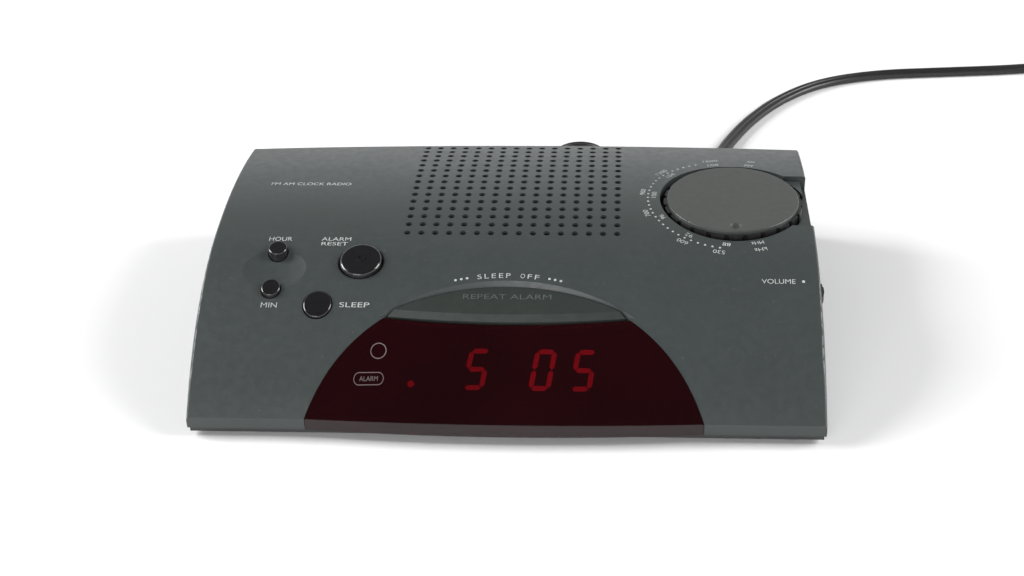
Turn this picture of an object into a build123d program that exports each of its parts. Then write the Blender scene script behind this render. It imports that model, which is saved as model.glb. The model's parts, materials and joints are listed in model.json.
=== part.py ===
"""A mains clock radio with a curved one-piece top, as it comes apart on a bench.

Axes: X runs along the width (+X is the tuning side), Y runs from the front (-Y) to the rear (+Y), Z is up.
The origin is on the table surface, under the middle of the case.
Places on the case are written as (x, back, z), where back is the distance behind the front strip.
"""

from build123d import *
import math
import os

os.makedirs("parts", exist_ok=True)

# ---------------------------------------------------------------- case
WIDTH = 190.0
SIDE_DEPTH = 120.6  # front strip to rear wall, at the sides
REAR_BOW = 4.7  # how far the middle of the rear wall stands behind its ends
FRONT_Y = -61.4
WALL = 2.0
BASE_Z = 3.0  # lower edge of the top shell
STRIP_TOP = 6.8  # the upright front strip ends here and the crown begins
EDGE_ROUND = 0.9

# The crown is two tangent arcs, seen from the side.
FRONT_SLOPE = math.radians(46.9)
FRONT_RADIUS = 95.0
JOIN_SLOPE = math.radians(8.2)
REAR_RADIUS = 190.0
PAST_REAR = 132.0  # the side outline runs on to here before the rear wall cuts it

# ---------------------------------------------------------------- window and snooze bar
ARC_BACK = -28.5  # the window and the bar share this centre, in front of the case
WINDOW_R = 65.8
BAND_R = 68.0
BAND_DEPTH = 1.3
FIT_GAP = 0.2
LENS_WALL = 1.6
LENS_BULGE = 2.6  # the window stands this far in front of the strip, in the middle
LENS_HALF = 60.0
LENS_MELT_BACK = 30.0  # the bulge has died out here
BAR_BACK = 25.9  # the window ends and the bar begins on this line
BAR_EDGE = 24.4  # the middle of the bar's front edge, which bows forwards
BAR_BOW = 5.0
BAR_CREASE = 28.4
BAR_SINK = 1.1
BAR_PROUD = 0.7
BAR_UNDER = 3.9
BAR_LIP = 1.5

# ---------------------------------------------------------------- speaker grille
GRILLE_PITCH = 4.43
GRILLE_COLUMNS = 16
GRILLE_ROWS = 15
GRILLE_BACK = 59.3
GRILLE_HOLE_R = 1.1

# ---------------------------------------------------------------- tuning knob
KNOB_X, KNOB_BACK = 70.3, 79.5
KNOB_R = 22.2
KNOB_TOP = 38.0
KNOB_CAP = 1.2
KNOB_BODY = 3.6
WELL_R = 23.5
WELL_FLOOR = 32.4
CUP_WALL = 1.4
NOTCHES = 24
THUMB_FRONT, THUMB_REAR, THUMB_SINK = 64.2, 95.3, 1.8

# ---------------------------------------------------------------- keys: x, back, radius, height above the crown, travel
KEYS = {
    "hour": (-73.0, 49.3, 2.95, 2.0, 1.0),
    "minute": (-73.1, 34.6, 2.95, 1.2, 1.0),
    "alarm_reset": (-46.3, 45.4, 6.55, 1.4, 1.0),
    "sleep": (-58.0, 29.6, 4.35, 0.6, 1.0),
}
KEY_GAP = 0.3
DISH_X, DISH_BACK, DISH_R, DISH_DEPTH = -73.2, 42.4, 9.9, 1.1
BOARD = 1.6
KEY_BOARD_Z = 12.6
SWITCH_SIZE, SWITCH_HEIGHT, PLUNGER_R, PLUNGER_HEIGHT = 6.0, 3.5, 1.75, 1.5

# ---------------------------------------------------------------- side controls
WHEEL_X, WHEEL_BACK, WHEEL_R, WHEEL_Z, WHEEL_THICK = 86.2, 45.0, 10.8, 22.4, 3.0
SLIDER_Z = 12.0
SLIDER_PROUD = 1.6

# ---------------------------------------------------------------- display
DISPLAY_TILT = 35.0
DISPLAY_X, DISPLAY_BACK, DISPLAY_Z = 0.5, 15.75, 13.95  # middle of the display's face
DISPLAY_LONG, DISPLAY_WIDE, DISPLAY_THICK = 63.0, 18.0, 5.0
DISPLAY_BOARD = 1.2

# ---------------------------------------------------------------- cords
MAINS_D = 5.2
MAINS_ROUTE = [
    (70.0, 148.0, 8.0),
    (70.0, 158.5, 8.0),
    (70.8, 173.0, 3.4),
    (76.0, 189.0, 2.6),
    (85.0, 207.5, 2.6),
    (98.0, 226.5, 2.6),
    (116.0, 242.5, 2.6),
    (140.0, 250.8, 2.6),
    (168.0, 253.2, 2.6),
    (196.0, 255.4, 2.6),
    (217.0, 259.3, 2.6),
    (234.0, 264.4, 2.6),
]
MAINS_COIL = (244.9, 228.0)
MAINS_RING = (19.0, 40.6, 6.0)  # inner radius, outer radius, height
TAIL_ROUTE = [
    (282.9, 222.0, 4.3),
    (282.3, 210.0, 4.6),
    (281.0, 198.0, 7.0),
    (281.0, 187.5, 7.0),
]
WIRE_D = 1.5
WIRE_ROUTE = [
    (10.0, 125.25, 8.0),
    (10.0, 131.0, 7.4),
    (10.2, 137.5, 5.0),
    (10.4, 144.0, 1.7),
    (10.2, 151.5, 0.75),
    (9.5, 161.0, 0.75),
    (8.9, 171.0, 0.75),
]
WIRE_COIL = (18.4, 174.2)
WIRE_RING = (4.3, 10.3, 4.5)


def at(x, back, z=0.0):
    """A place on the case."""
    return Pos(x, FRONT_Y + back, z)


def save(shape, node):
    """Writes one sub-part, as solids only."""
    solids = shape.solids()
    export_step(solids[0] if len(solids) == 1 else Compound(children=list(solids)), f"parts/{node}.step")


def together(shapes):
    """Separate solids kept as one shape."""
    return Compound(children=[s for shape in shapes for s in shape.solids()])


def box(x0, x1, back0, back1, z0, z1):
    """A block between two corners."""
    return at((x0 + x1) / 2, (back0 + back1) / 2, (z0 + z1) / 2) * Box(x1 - x0, back1 - back0, z1 - z0)


def rod(x, back, r, z0, z1):
    """An upright cylinder."""
    return at(x, back, (z0 + z1) / 2) * Cylinder(r, z1 - z0)


def tube(x, back, outer, inner, z0, z1):
    """An upright pipe."""
    return rod(x, back, outer, z0, z1) - rod(x, back, inner, z0 - 1, z1 + 1)


def mirrored(places):
    """Places on the right, and the same on the left."""
    return [(side * x, back) for x, back in places for side in (-1, 1)]


FACE = at(DISPLAY_X, DISPLAY_BACK, DISPLAY_Z) * Rot(DISPLAY_TILT, 0, 0)


# ---------------------------------------------------------------- the crown
def on_arc(centre, radius, slope):
    return (centre[0] - radius * math.sin(slope), centre[1] + radius * math.cos(slope))


FRONT_CENTRE = (
    FRONT_RADIUS * math.sin(FRONT_SLOPE),
    STRIP_TOP - FRONT_RADIUS * math.cos(FRONT_SLOPE),
)
JOIN = on_arc(FRONT_CENTRE, FRONT_RADIUS, JOIN_SLOPE)
REAR_CENTRE = (
    JOIN[0] + REAR_RADIUS * math.sin(JOIN_SLOPE),
    JOIN[1] - REAR_RADIUS * math.cos(JOIN_SLOPE),
)


def crown_arc(back):
    return (FRONT_CENTRE, FRONT_RADIUS) if back < JOIN[0] else (REAR_CENTRE, REAR_RADIUS)


def crown_z(back, inset=0.0):
    """Height of the crown, or of a surface that lies inset below it."""
    centre, radius = crown_arc(back)
    return centre[1] + math.sqrt((radius - inset) ** 2 - (back - centre[0]) ** 2)


def crown_slope(back):
    """How steeply the crown climbs towards the rear, in radians."""
    centre, radius = crown_arc(back)
    return math.asin((centre[0] - back) / radius)


def side_face(inset, floor_z):
    """The case's outline seen from the side, moved inwards by inset."""
    r1, r2 = FRONT_RADIUS - inset, REAR_RADIUS - inset
    low = (inset, floor_z)
    brow = (inset, crown_z(inset, inset))
    brow_slope = math.asin((FRONT_CENTRE[0] - inset) / r1)
    join = on_arc(FRONT_CENTRE, r1, JOIN_SLOPE)
    tail_slope = math.asin((REAR_CENTRE[0] - PAST_REAR) / r2)
    tail = on_arc(REAR_CENTRE, r2, tail_slope)
    outline = [
        Line(low, brow),
        ThreePointArc(brow, on_arc(FRONT_CENTRE, r1, (brow_slope + JOIN_SLOPE) / 2), join),
        ThreePointArc(join, on_arc(REAR_CENTRE, r2, (JOIN_SLOPE + tail_slope) / 2), tail),
        Line(tail, (PAST_REAR, floor_z)),
        Line((PAST_REAR, floor_z), low),
    ]
    return Plane.YZ * make_face(outline)


def plan_face(inset):
    """The case's outline seen from above, moved inwards by inset."""
    half, rear = WIDTH / 2 - inset, SIDE_DEPTH - inset
    outline = [
        Line((-half, inset), (half, inset)),
        Line((half, inset), (half, rear)),
        ThreePointArc((half, rear), (0, rear + REAR_BOW), (-half, rear)),
        Line((-half, rear), (-half, inset)),
    ]
    return at(0, 0) * make_face(outline)


def plan_slab(inset, z0, z1):
    return Pos(0, 0, z0) * extrude(plan_face(inset), z1 - z0)


def case_block(inset=0.0, floor_z=BASE_Z):
    """The whole case as a solid, moved inwards by inset."""
    across = extrude(side_face(inset, floor_z), WIDTH / 2 - inset, both=True)
    return at(0, 0) * across & plan_slab(inset, floor_z, 60)


def near(value, target, slack=0.3):
    return abs(value - target) < slack


def rounded_case():
    """The case's outside, with its side and rear edges rounded."""
    block = case_block()
    half = WIDTH / 2
    side = [
        e
        for e in block.edges()
        if near(abs(e.center().X), half) and e.center().Z > STRIP_TOP + 3 and e.length > 30
    ]
    rear = [
        e
        for e in block.edges()
        if e.center().Y > FRONT_Y + SIDE_DEPTH and near(e.center().Z, crown_z(SIDE_DEPTH + REAR_BOW), 1.5)
    ]
    return fillet(side + rear, EDGE_ROUND)


OUTSIDE = rounded_case()
INSIDE = case_block(WALL, BASE_Z - 2)
ARC_AXIS = at(0, ARC_BACK, 20)


def arc_disc(radius):
    """The upright cylinder that the window and the bar are bounded by."""
    return ARC_AXIS * Cylinder(radius, 80)


def behind(back):
    """Everything behind a line across the case."""
    return box(-100, 100, back, 200, -5, 60)


def bar_front(half_width, middle, bow, reach=20.0):
    """Everything behind a bowed edge across the case."""
    back = middle + bow
    front = [
        ThreePointArc((-half_width, back), (0, back - bow), (half_width, back)),
        Line((half_width, back), (half_width, back + reach)),
        Line((half_width, back + reach), (-half_width, back + reach)),
        Line((-half_width, back + reach), (-half_width, back)),
    ]
    return at(0, 0) * extrude(make_face(front), 60)


# ---------------------------------------------------------------- top shell
POSTS = mirrored([(86.5, 13.5), (86.5, 112.0)])
POST_R, POST_BOTTOM, PILOT_R = 3.2, 6.4, 1.25
SPEAKER_BACK, SPEAKER_R, SPEAKER_RIM_Z = 90.5, 28.5, 30.2
LUGS = [(x, SPEAKER_BACK + y) for x in (-23.0, 23.0) for y in (-23.0, 23.0)]
SIDE_SLOTS = {
    # name: side, back, half length, half height, height above the table
    "volume": (1, WHEEL_BACK, 9.2, 2.1, WHEEL_Z + WHEEL_THICK / 2),
    "band": (1, 76.0, 5.0, 1.8, SLIDER_Z),
    "function": (-1, 40.0, 8.0, 1.8, SLIDER_Z),
    "clock_set": (-1, 66.0, 5.0, 1.8, SLIDER_Z),
}
MAINS_X, MAINS_Z = MAINS_ROUTE[0][0], MAINS_ROUTE[0][2]


def grille_holes():
    """The speaker grille's round holes, in rows."""
    first = -GRILLE_PITCH * (GRILLE_COLUMNS - 1) / 2
    return [
        rod(first + column * GRILLE_PITCH, GRILLE_BACK + row * GRILLE_PITCH, GRILLE_HOLE_R, 29, 42)
        for row in range(GRILLE_ROWS)
        for column in range(GRILLE_COLUMNS)
    ]


def dish_cutter():
    """A large ball that leaves a shallow round dish, square to the crown."""
    ball_r = (DISH_R**2 + DISH_DEPTH**2) / (2 * DISH_DEPTH)
    slope, lift = crown_slope(DISH_BACK), ball_r - DISH_DEPTH
    z = crown_z(DISH_BACK) + lift * math.cos(slope)
    return at(DISH_X, DISH_BACK - lift * math.sin(slope), z) * Sphere(ball_r)


def skin_with_brow():
    """The shell's skin, open for the window and the bar, with a slope round the bar."""
    opened = OUTSIDE - (arc_disc(WINDOW_R) & behind(BAR_BACK - 4))
    brow = [
        e
        for e in opened.edges()
        if near(e.bounding_box().max.Z, crown_z(ARC_BACK + WINDOW_R))
        and near(e.center().X, 0)
        and near(e.bounding_box().max.Y, FRONT_Y + ARC_BACK + WINDOW_R)
    ]
    rear = chamfer(brow, BAND_DEPTH, BAND_R - WINDOW_R) & behind(BAR_BACK)
    return OUTSIDE - arc_disc(WINDOW_R) - behind(BAR_BACK) + rear - INSIDE


def ring_ledge(outer, inner, top, bottom, back0, back1):
    """A curved strip that follows the crown, between two radii of the window's arc."""
    layer = case_block(top, 0) - case_block(bottom, -1)
    return layer & (arc_disc(outer) - arc_disc(inner)) & box(-90, 90, back0, back1, 4, 60)


def thumb_recess():
    """The place beside the knob where a thumb turns it."""
    cut = box(KNOB_X + 12, WIDTH, THUMB_FRONT, THUMB_REAR, WELL_FLOOR, 45)
    return cut - case_block(THUMB_SINK)


def side_slot(side, back, half_long, half_high, z):
    """A slot through a side wall."""
    low, high = sorted((side * (WIDTH / 2 - WALL - 2), side * (WIDTH / 2 + 3)))
    return box(low, high, back - half_long, back + half_long, z - half_high, z + half_high)


def top_shell():
    """The one-piece cover, with its posts, knob well, grille and openings."""
    shell = skin_with_brow()
    fill = case_block(WALL / 2)
    shell += rod(KNOB_X, KNOB_BACK, WELL_R + CUP_WALL, WELL_FLOOR - CUP_WALL, 40) & fill
    for x, back in POSTS:
        shell += rod(x, back, POST_R, POST_BOTTOM, 40) & fill
    for x, back in LUGS:
        shell += rod(x, back, 2.6, SPEAKER_RIM_Z, 40) & fill
    shell += ring_ledge(WINDOW_R + 1.2, WINDOW_R - 2.0, LENS_WALL + 0.1, LENS_WALL + 1.3, 6, BAR_BACK - 4)
    shell -= rod(KNOB_X, KNOB_BACK, WELL_R, WELL_FLOOR, 45)
    shell -= rod(KNOB_X, KNOB_BACK, SHAFT_R + 1.2, 25, 45)
    shell -= thumb_recess()
    for x, back in POSTS:
        shell -= rod(x, back, PILOT_R, 0, 13.0)
    for x, back in LUGS:
        shell -= rod(x, back, 0.9, 20, SPEAKER_RIM_Z + 3.5)
    shell -= dish_cutter()
    for x, back, r, _, _ in KEYS.values():
        shell -= rod(x, back, r + KEY_GAP, 15, 45)
    x, back, r, _, _ = KEYS["alarm_reset"]
    tilt = Rot(math.degrees(crown_slope(back)), 0, 0)
    shell -= at(x, back, crown_z(back)) * tilt * Cone(r - 0.2, r + 1.8, 2.0)
    for slot in SIDE_SLOTS.values():
        shell -= side_slot(*slot)
    shell -= box(MAINS_X - 5, MAINS_X + 5, 112, 130, MAINS_Z - 3.6, MAINS_Z + 3.6)
    wire_x, _, wire_z = WIRE_ROUTE[0]
    shell -= at(wire_x, 122, wire_z) * Rot(90, 0, 0) * Cylinder(WIRE_D / 2 + 0.2, 14)
    return shell - grille_holes()


# ---------------------------------------------------------------- bottom shell
PLATE_Z0, PLATE_INSET = 1.4, 0.6
LIP_INSET, LIP_THICK, LIP_TOP = WALL + 0.2, 1.4, 6.0
BAY = (-76.0, -22.0, 76.0, 103.2, 21.1)  # x, x, back, back and roof, inside the walls
BAY_WALL = 1.3
DOOR_PLAY = 0.3
FEET = mirrored([(79.0, 22.0), (84.0, 99.0)])
CLOCK_BOARD = (-34.0, 40.0, 30.0, 60.0, 8.0)
RADIO_BOARD = (42.0, 91.5, 32.0, 93.0, 17.9)
CLOCK_STANDS = [(-30.0, 33.5), (36.0, 33.5), (-30.0, 56.5), (36.0, 56.5)]
RADIO_STANDS = [(46.0, 36.0), (46.0, 88.5), (87.5, 89.5), (66.0, 36.0)]
KEY_STANDS = [(-79.0, 26.0), (-42.0, 26.0), (-79.0, 57.0), (-42.0, 57.0)]
KEY_BOARD = (-82.0, -38.0, 22.5, 60.5, KEY_BOARD_Z)
SIDE_BOARD = (-84.4, -82.9, 27.0, 77.5, 4.0, 17.0)
STRAP_LUGS = [(25.4, 108.0), (64.6, 108.0)]
ROD_BACK, ROD_Z, ROD_R, ROD_ENDS = 110.0, 27.5, 4.0, (-79.0, -31.0)
STAND_R, STAND_HOLE_R = 3.0, 0.9


def battery_bay():
    """The open-bottomed box that holds the battery."""
    x0, x1, back0, back1, roof = BAY
    w = BAY_WALL
    outer = box(x0 - w, x1 + w, back0 - w, back1 + w, BASE_Z, roof + w)
    return outer - box(x0, x1, back0, back1, 0, roof)


def door_slot(play=0.0, z0=0.0, step=2.1, z1=BASE_Z):
    """The stepped track for the battery door, open at the rear edge."""
    x0, x1, back0, _, _ = BAY
    low = box(x0 + 1 + play, x1 - 1 - play, back0 - 0.5 + play, 140, z0, step)
    high = box(x0 - 1.2 + play, x1 + 1.2 - play, back0 - 0.5 + play, 140, step, z1)
    return low + high


def cradle(x):
    """A slotted rib that holds the ferrite rod."""
    rib = box(x - 1.0, x + 1.0, ROD_BACK - 6, ROD_BACK + 6, BASE_Z, ROD_Z)
    return rib - at(x, ROD_BACK, ROD_Z) * Rot(0, 90, 0) * Cylinder(ROD_R + 0.05, 10)


def bottom_shell():
    """The base plate, with its lip, bosses, board stands and battery bay."""
    plate = plan_slab(PLATE_INSET, PLATE_Z0, BASE_Z)
    lip = plan_slab(LIP_INSET, BASE_Z, LIP_TOP) - plan_slab(LIP_INSET + LIP_THICK, 0, 10)
    lip -= box(MAINS_X - 7.5, MAINS_X + 7.5, 100, 130, 0, 10)
    lip -= box(-32, 32, -5, 10, 0, 10)
    shell = plate - door_slot() + lip + battery_bay()
    for x, back in POSTS:
        shell += rod(x, back, 4.0, BASE_Z - 0.5, POST_BOTTOM)
        shell -= rod(x, back, 1.5, 0, 10)
        shell -= rod(x, back, 2.9, 0, 4.2)
    stands = [(place, CLOCK_BOARD[4]) for place in CLOCK_STANDS]
    stands += [(place, RADIO_BOARD[4]) for place in RADIO_STANDS]
    stands += [(place, KEY_BOARD_Z) for place in KEY_STANDS]
    stands += [(place, LIP_TOP) for place in STRAP_LUGS]
    for (x, back), top in stands:
        shell += rod(x, back, STAND_R, BASE_Z - 0.5, top)
        shell -= rod(x, back, STAND_HOLE_R, 2.0, top + 1)
    for x in (ROD_ENDS[0] + 3, ROD_ENDS[1] - 3):
        shell += cradle(x)
    for back in (SIDE_BOARD[2], SIDE_BOARD[3]):
        rib = box(-86.4, -81.0, back - 2, back + 2, BASE_Z - 0.5, 9)
        shell += rib - box(SIDE_BOARD[0] - 0.1, SIDE_BOARD[1] + 0.1, back - 3, back + 3, SIDE_BOARD[4], 20)
    for x in (-28.0, 29.0):
        rib = box(x - 1.2, x + 1.2, 12.0, 26.0, BASE_Z - 0.5, 14.0)
        shell += rib - FACE * Pos(0, 0, 20 - DISPLAY_THICK - DISPLAY_BOARD) * Box(80, 80, 40)
    return shell


def pan_screw(x, back, head_z, head_r, shaft_r, length, up=1):
    """A pan-head screw. Its head starts at head_z and its shaft runs up or down from there."""
    head = rod(x, back, head_r, head_z, head_z + 1.8)
    if up > 0:
        return head + rod(x, back, shaft_r, head_z + 1.8, head_z + 1.8 + length)
    return head + rod(x, back, shaft_r, head_z - length, head_z)


def case_screws():
    """Four screws, from below into the cover's posts."""
    return together([pan_screw(x, back, 2.4, 2.6, PILOT_R, 8.4) for x, back in POSTS])


def board_screws():
    """Small screws that hold the boards and the transformer on their stands."""
    tops = [(place, CLOCK_BOARD[4] + BOARD) for place in CLOCK_STANDS]
    tops += [(place, RADIO_BOARD[4] + BOARD) for place in RADIO_STANDS]
    tops += [(place, KEY_BOARD_Z + BOARD) for place in KEY_STANDS]
    tops += [(place, LIP_TOP + 0.8) for place in STRAP_LUGS]
    return together([pan_screw(x, back, top, 2.0, STAND_HOLE_R, 4.5, -1) for (x, back), top in tops])


def rubber_feet():
    """Four feet under the base plate."""
    return together([rod(x, back, 5.0, 0, PLATE_Z0) for x, back in FEET])


def battery_door():
    """The sliding door under the battery bay, with a finger grip."""
    plate = plan_slab(PLATE_INSET, PLATE_Z0 + 0.05, BASE_Z - 0.1)
    door = plate & door_slot(DOOR_PLAY, 0.5, 2.2, BASE_Z - 0.1)
    grip = [box(-56, -42, 110 + 2.2 * n, 111 + 2.2 * n, 1, 1.9) for n in range(5)]
    return door - grip


# ---------------------------------------------------------------- window and snooze bar
def lens_section(x):
    """The window's outline seen from the side, at one place across it."""
    bulge = LENS_BULGE * (1 - (x / LENS_HALF) ** 2)
    brow = (-bulge, STRIP_TOP + 0.25 * bulge)
    middle = LENS_MELT_BACK * 0.45
    rear = (LENS_MELT_BACK, crown_z(LENS_MELT_BACK))
    outline = [
        Line((-bulge, BASE_Z), brow),
        ThreePointArc(brow, (middle, crown_z(middle) + 0.3 * bulge), rear),
        Line(rear, (LENS_MELT_BACK, BASE_Z)),
        Line((LENS_MELT_BACK, BASE_Z), (-bulge, BASE_Z)),
    ]
    return at(x, 0) * (Plane.YZ * make_face(outline))


def display_lens():
    """The smoked window, which also forms the middle of the front strip."""
    steps = [LENS_HALF * n / 3 for n in range(-3, 4)]
    lens = loft([lens_section(x) for x in steps], ruled=False)
    lens &= arc_disc(WINDOW_R - FIT_GAP)
    lens -= bar_front(LENS_HALF, BAR_EDGE - 0.9, BAR_BOW, 40)
    return lens - case_block(LENS_WALL, 0)


def snooze_bar():
    """The wide bar across the top, with a bowed lip, its stem and its retaining edge."""
    front, rear = BAR_EDGE - 0.5, ARC_BACK + WINDOW_R + 1
    high, low = crown_z(BAR_CREASE) + BAR_PROUD, crown_z(rear) - BAR_SINK
    pitch = (low - high) / (rear - BAR_CREASE)
    outline = [
        (front, crown_z(front) - BAR_UNDER),
        (front, high + pitch * (front - BAR_CREASE)),
        (rear, low),
        (rear, crown_z(rear) - BAR_UNDER),
    ]
    face = Plane.YZ * make_face(Polyline(*outline, close=True))
    block = at(0, 0) * extrude(face, 45, both=True)
    bar = block & arc_disc(WINDOW_R - KEY_GAP) & bar_front(LENS_HALF, BAR_EDGE, BAR_BOW)
    top = [e for e in bar.edges() if near(e.center().X, 0) and e.length > 60 and e.center().Z > high - 2]
    lip = min(top, key=lambda e: e.center().Y - e.center().Z)
    bar = chamfer(lip, BAR_LIP)
    bar += ring_ledge(WINDOW_R + 1.4, WINDOW_R - 2.0, WALL + 0.35, WALL + 1.6, BAR_CREASE + 1, 40)
    return bar + rod(0, SNOOZE_SWITCH_BACK, 2.4, SNOOZE_STEM_Z, 26.5)


# ---------------------------------------------------------------- keys and switches
SNOOZE_SWITCH_BACK = 34.0
CLOCK_TOP = CLOCK_BOARD[4] + BOARD
KEY_TOP = KEY_BOARD_Z + BOARD
SNOOZE_STEM_Z = CLOCK_TOP + SWITCH_HEIGHT + PLUNGER_HEIGHT
KEY_STEM_Z = KEY_TOP + SWITCH_HEIGHT + PLUNGER_HEIGHT
SWITCHES = {name: (x, back, KEY_TOP) for name, (x, back, _, _, _) in KEYS.items()}
SWITCHES["snooze"] = (0.0, SNOOZE_SWITCH_BACK, CLOCK_TOP)


def key(name):
    """A round key: its head follows the crown, and a collar keeps it in the case."""
    x, back, r, proud, _ = KEYS[name]
    slope = crown_slope(back)
    top = crown_z(back) + proud
    stem = rod(x, back, r, KEY_STEM_Z, top + 4)
    above = at(x, back, top) * Rot(math.degrees(slope), 0, 0) * Pos(0, 0, 10) * Box(40, 40, 20)
    body = stem - above
    rim = [e for e in body.edges() if e.center().Z > top - 0.6 and e.geom_type != GeomType.LINE]
    body = fillet(rim, 0.5 if r < 5 else 0.9)
    collar_top = crown_z(back - r - 1.2, WALL) - 0.5
    return body + rod(x, back, r + 1.2, collar_top - 1.2, collar_top)


def alarm_reset_button():
    """The largest key, with a small raised ring in its middle."""
    x, back, _, proud, _ = KEYS["alarm_reset"]
    ring = Cylinder(1.3, 0.5) - Cylinder(0.85, 1.0)
    tilt = Rot(math.degrees(crown_slope(back)), 0, 0)
    return key("alarm_reset") + at(x, back, crown_z(back) + proud) * tilt * ring


def plunger(name):
    """The moving stem of a push switch."""
    x, back, z = SWITCHES[name]
    return rod(x, back, PLUNGER_R, z + 1.4, z + SWITCH_HEIGHT + PLUNGER_HEIGHT)


def switch_bodies():
    """The square push switches, each with a bore for its plunger."""
    half = SWITCH_SIZE / 2
    bodies = []
    for x, back, z in SWITCHES.values():
        body = box(x - half, x + half, back - half, back + half, z, z + SWITCH_HEIGHT)
        bodies.append(body - rod(x, back, PLUNGER_R + 0.3, z + 0.3, z + 6))
    return together(bodies)


def board(area, holes):
    """A circuit board with its screw holes."""
    x0, x1, back0, back1, z = area
    plate = box(x0, x1, back0, back1, z, z + BOARD)
    for x, back in holes:
        plate -= rod(x, back, STAND_HOLE_R + 0.2, z - 1, z + 3)
    return plate


def side_board():
    """The upright board that carries the two left-hand slide switches."""
    return box(*SIDE_BOARD)


def slide_body(x0, x1, name):
    """A slide switch's case, grooved for its lever."""
    _, back, half_long, _, z = SIDE_SLOTS[name]
    body = box(x0, x1, back - half_long - 2.5, back + half_long + 2.5, z - 4, z + 4)
    inner, outer = (x0 - 1, x0 + 3.4) if x0 < 0 else (x1 - 3.4, x1 + 1)
    return body - box(inner, outer, back - half_long - 0.2, back + half_long + 0.2, z - 1.8, z + 1.8)


def slide_switches():
    """The cases of the three slide switches."""
    left = [slide_body(-91.9, SIDE_BOARD[0], name) for name in ("function", "clock_set")]
    return together([*left, slide_body(82.0, 91.5, "band")])


def slide_lever(name, reach):
    """A slide switch's lever, ribbed where a finger pushes it."""
    side, back, _, _, z = SIDE_SLOTS[name]
    tip = WIDTH / 2 + SLIDER_PROUD
    low, high = sorted((side * reach, side * tip))
    lever = box(low, high, back - 2.2, back + 2.2, z - 1.4, z + 1.4)
    for n in (-1, 0, 1):
        centre = side * tip
        lever -= box(centre - 0.5, centre + 0.5, back + n * 1.3 - 0.25, back + n * 1.3 + 0.25, z - 2, z + 2)
    return lever


# ---------------------------------------------------------------- clock and display
DIGIT_XS = [-20.8, -8.5, 11.4, 23.6]
SHOWN = ["", "acdfg", "abcdef", "acdfg"]
DIGIT_W, DIGIT_H, STROKE, SLANT = 6.6, 13.2, 1.5, math.tan(math.radians(9))


def led_display():
    """The light-bar housing, tilted to face the user."""
    return FACE * Pos(0, 0, -DISPLAY_THICK / 2) * Box(DISPLAY_LONG, DISPLAY_WIDE, DISPLAY_THICK)


def display_board():
    """The board behind the light bars."""
    plate = Box(DISPLAY_LONG, DISPLAY_WIDE, DISPLAY_BOARD)
    return FACE * Pos(0, 0, -DISPLAY_THICK - DISPLAY_BOARD / 2) * plate


def segment(name):
    """One bar of a digit, as a flat slanted strip with pointed ends."""
    w, h = DIGIT_W - STROKE, (DIGIT_H - STROKE) / 2
    places = {
        "a": (0, h, True),
        "g": (0, 0, True),
        "d": (0, -h, True),
        "f": (-w / 2, h / 2, False),
        "b": (w / 2, h / 2, False),
        "e": (-w / 2, -h / 2, False),
        "c": (w / 2, -h / 2, False),
    }
    x, y, flat = places[name]
    half, edge = (w if flat else h) / 2 - 0.15, STROKE / 2
    strip = [(-half, 0), (edge - half, edge), (half - edge, edge), (half, 0), (half - edge, -edge), (edge - half, -edge)]
    points = [(u, v) if flat else (v, u) for u, v in strip]
    return [(x + u + SLANT * (y + v), y + v) for u, v in points]


def display_bars(lit):
    """The light bars that are on, or those that are off."""
    bars = []
    for x, shown in zip(DIGIT_XS, SHOWN):
        for name in "abcdefg":
            if (name in shown) == lit:
                face = make_face(Polyline(*segment(name), close=True))
                bars.append(FACE * Pos(x - DISPLAY_X, 0, 0) * extrude(face, 0.12))
    return together(bars)


def alarm_led():
    """The small round lamp that shows that the alarm is set."""
    return FACE * Pos(-28.6, -4.9, 0.15) * Cylinder(1.0, 0.3)


def chips():
    """The clock's and the radio's integrated circuits."""
    clock = box(-13, 24, 41.5, 55, CLOCK_TOP, CLOCK_TOP + 3.8)
    radio = box(59, 69, 41, 55, RADIO_TOP, RADIO_TOP + 3.5)
    return together([clock, radio])


def capacitors():
    """Upright electrolytic capacitors on the clock board."""
    places = [(-26, 45, 4, 11), (33, 46, 5, 15), (-20, 53, 2.5, 7)]
    return together([rod(x, back, r, CLOCK_TOP, CLOCK_TOP + high) for x, back, r, high in places])


# ---------------------------------------------------------------- radio
RADIO_TOP = RADIO_BOARD[4] + BOARD
SHAFT_R, SHAFT_FIT = 3.0, 0.05


def radio_board():
    """The radio's circuit board."""
    return board(RADIO_BOARD, RADIO_STANDS)


def coil_cans():
    """The radio's screened coils."""
    places = [(48, 50), (48, 58.5), (48, 67), (48, 75.5)]
    return together([box(x - 3.5, x + 3.5, y - 3.5, y + 3.5, RADIO_TOP, RADIO_TOP + 8) for x, y in places])


def tuning_capacitor():
    """The variable capacitor under the knob, bored for its shaft."""
    case = box(KNOB_X - 10, KNOB_X + 10, KNOB_BACK - 10, KNOB_BACK + 10, RADIO_TOP, RADIO_TOP + 11)
    return case - rod(KNOB_X, KNOB_BACK, SHAFT_R + SHAFT_FIT, RADIO_TOP + 2, 40)


def tuning_shaft():
    """The shaft that the knob is pressed on."""
    return rod(KNOB_X, KNOB_BACK, SHAFT_R, RADIO_TOP + 2.2, KNOB_TOP - KNOB_CAP - 0.4)


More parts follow.
